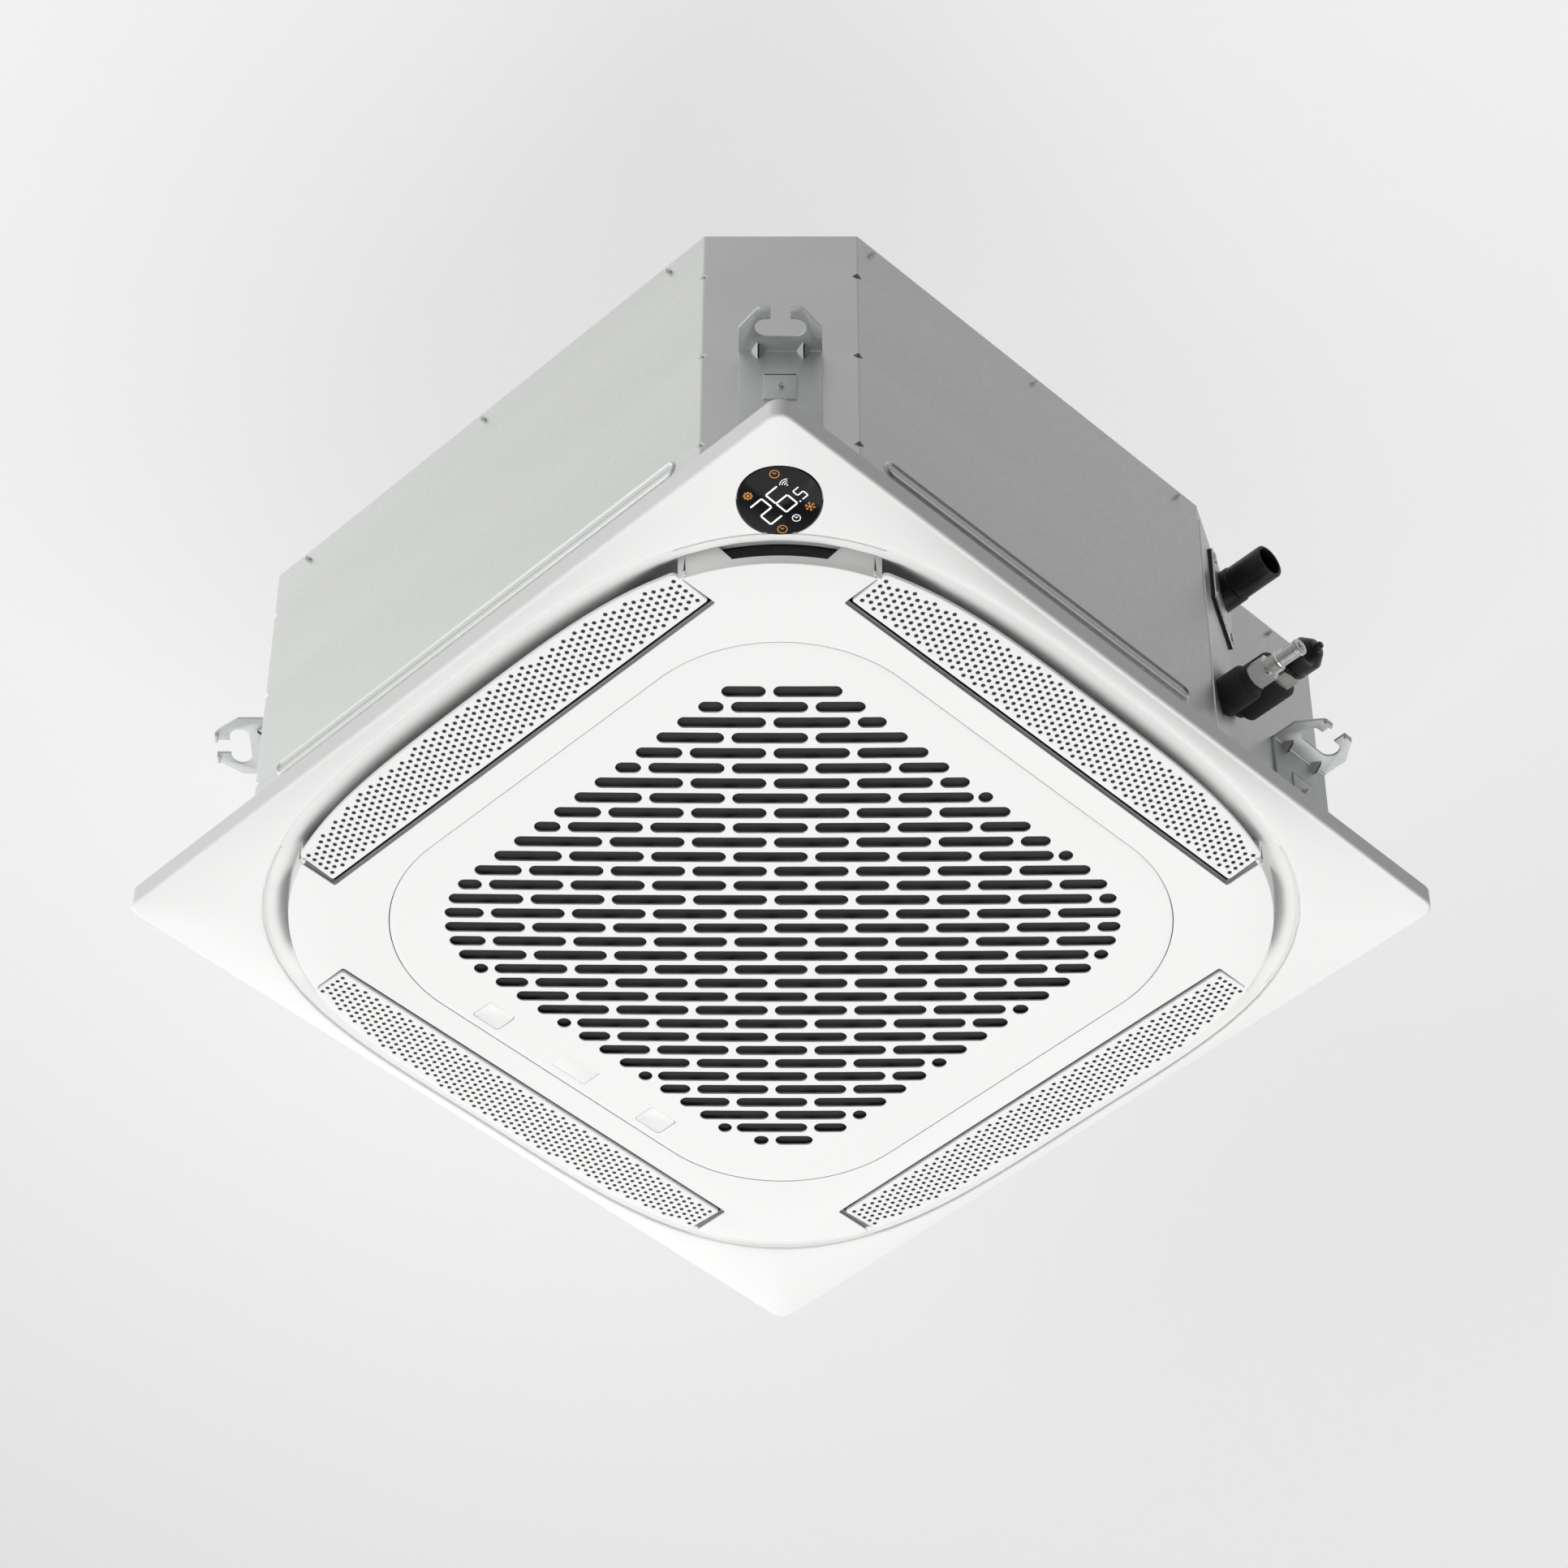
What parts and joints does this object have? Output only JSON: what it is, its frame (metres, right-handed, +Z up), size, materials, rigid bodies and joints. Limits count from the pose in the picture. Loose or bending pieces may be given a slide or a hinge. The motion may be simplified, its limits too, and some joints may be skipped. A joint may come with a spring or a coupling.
{
  "type": "ceiling cassette air conditioner",
  "caption": "Four-way ceiling cassette air conditioner with hinged intake grille, swing louvers, round display, galvanised casing, hanging brackets, drain stub and pipe unions.",
  "frame": {"origin": "plan centre of the casing at the ceiling plane, level with the back of the bezel's rim", "axes": "+X towards the side where the pipes leave, +Y away from the display corner's front side, +Z up into the ceiling void"},
  "size_m": [0.653, 0.62, 0.2966],
  "materials": {
    "galvanised_steel": "fine spangled zinc, half matt",
    "plated_steel": "bright zinc plate",
    "grey_foam": "closed-cell foam, matt",
    "black_foam": "closed-cell foam, matt",
    "black_rubber": "smooth rubber",
    "black_plastic": "fine texture",
    "aluminium_fins": "bare fins",
    "copper_tube": "drawn copper, slightly dulled",
    "motor_enamel": "grey enamel",
    "nickelled_brass": "nickel plated, semi bright",
    "white_abs": "fine spark texture",
    "white_polystyrene": "expanded bead foam",
    "blue_plastic": "moulded",
    "orange_plastic": "moulded",
    "circuit_board": "green solder mask",
    "grey_plastic": "moulded",
    "display_window": "smoked window"
  },
  "bodies": {
    "housing": {"top_plate": "galvanised_steel", "side_shell": "galvanised_steel", "hanger_near": "galvanised_steel", "hanger_left": "galvanised_steel", "hanger_far": "galvanised_steel", "hanger_right": "galvanised_steel", "pipe_plate": "galvanised_steel", "drain_flange": "galvanised_steel", "coil_end_plates": "galvanised_steel", "electrical_box": "galvanised_steel", "electrical_cover": "galvanised_steel", "foam_liner": "grey_foam", "foam_top": "grey_foam", "panel_seal": "grey_foam", "hanger_screws": "plated_steel", "casing_screws": "plated_steel", "motor_bolts": "plated_steel", "panel_screws": "plated_steel", "drain_gasket": "black_foam", "liquid_sleeve": "black_foam", "gas_sleeve": "black_foam", "motor_mounts": "black_rubber", "cable_grommet": "black_rubber", "drain_hose": "black_rubber", "drain_stub": "black_plastic", "gas_cap": "black_plastic", "terminal_block": "black_plastic", "evaporator_fins": "aluminium_fins", "return_bends": "copper_tube", "liquid_pipe": "copper_tube", "gas_pipe": "copper_tube", "fan_motor": "motor_enamel", "liquid_nut": "nickelled_brass", "liquid_union": "nickelled_brass", "gas_nut": "nickelled_brass", "bell_mouth": "white_abs", "panel_bezel": "white_abs", "panel_face": "white_abs", "drain_pump": "white_abs", "float_stem": "white_abs", "drain_pan": "white_polystyrene", "control_board": "circuit_board", "display_board": "circuit_board", "louver_motors": "grey_plastic", "display_lens": "display_window"},
    "fan": {"fan_wheel": "black_plastic", "motor_shaft": "plated_steel", "fan_nut": "plated_steel"},
    "pump_rotor": {"pump_impeller": "blue_plastic"},
    "float": {"pump_float": "orange_plastic"},
    "vane_right": {"louver_right": "white_abs"},
    "vane_back": {"louver_back": "white_abs"},
    "vane_left": {"louver_left": "white_abs"},
    "vane_front": {"louver_front": "white_abs"},
    "grille": {"intake_grille": "white_abs", "grille_hinges": "galvanised_steel", "air_filter": "black_plastic", "blank_plate": "white_abs"},
    "button_back": {"latch_back": "white_abs"},
    "button_front": {"latch_front": "white_abs"}
  },
  "joints": [
    {"name": "fan_spin", "type": "hinge", "parent": "housing", "child": "fan", "pos_m": [0, 0, 0.16], "axis": [0, 0, 1], "continuous": true},
    {"name": "pump_spin", "type": "hinge", "parent": "housing", "child": "pump_rotor", "pos_m": [0.185, 0.205, 0.045], "axis": [0, 0, 1], "continuous": true},
    {"name": "float_rise", "type": "slide", "parent": "housing", "child": "float", "axis": [0, 0, 1], "range_m": [0, 0.02]},
    {"name": "vane_right_tilt", "type": "hinge", "parent": "housing", "child": "vane_right", "pos_m": [0.2535, 0, -0.0245], "axis": [0, 1, 0], "range_deg": [0, 65]},
    {"name": "vane_back_tilt", "type": "hinge", "parent": "housing", "child": "vane_back", "pos_m": [0, 0.2535, -0.0245], "axis": [-1, 0, 0], "range_deg": [0, 65]},
    {"name": "vane_left_tilt", "type": "hinge", "parent": "housing", "child": "vane_left", "pos_m": [-0.2535, 0, -0.0245], "axis": [0, -1, 0], "range_deg": [0, 65]},
    {"name": "vane_front_tilt", "type": "hinge", "parent": "housing", "child": "vane_front", "pos_m": [0, -0.2535, -0.0245], "axis": [1, 0, 0], "range_deg": [0, 65]},
    {"name": "grille_hinge", "type": "hinge", "parent": "housing", "child": "grille", "pos_m": [0.2305, 0, -0.0256], "axis": [0, -1, 0], "range_deg": [0, 88]},
    {"name": "button_back_push", "type": "slide", "parent": "grille", "child": "button_back", "axis": [0, 0, 1], "range_m": [0, 0.0025], "stiffness_N_per_m": 250},
    {"name": "button_front_push", "type": "slide", "parent": "grille", "child": "button_front", "axis": [0, 0, 1], "range_m": [0, 0.0025], "stiffness_N_per_m": 250}
  ]
}
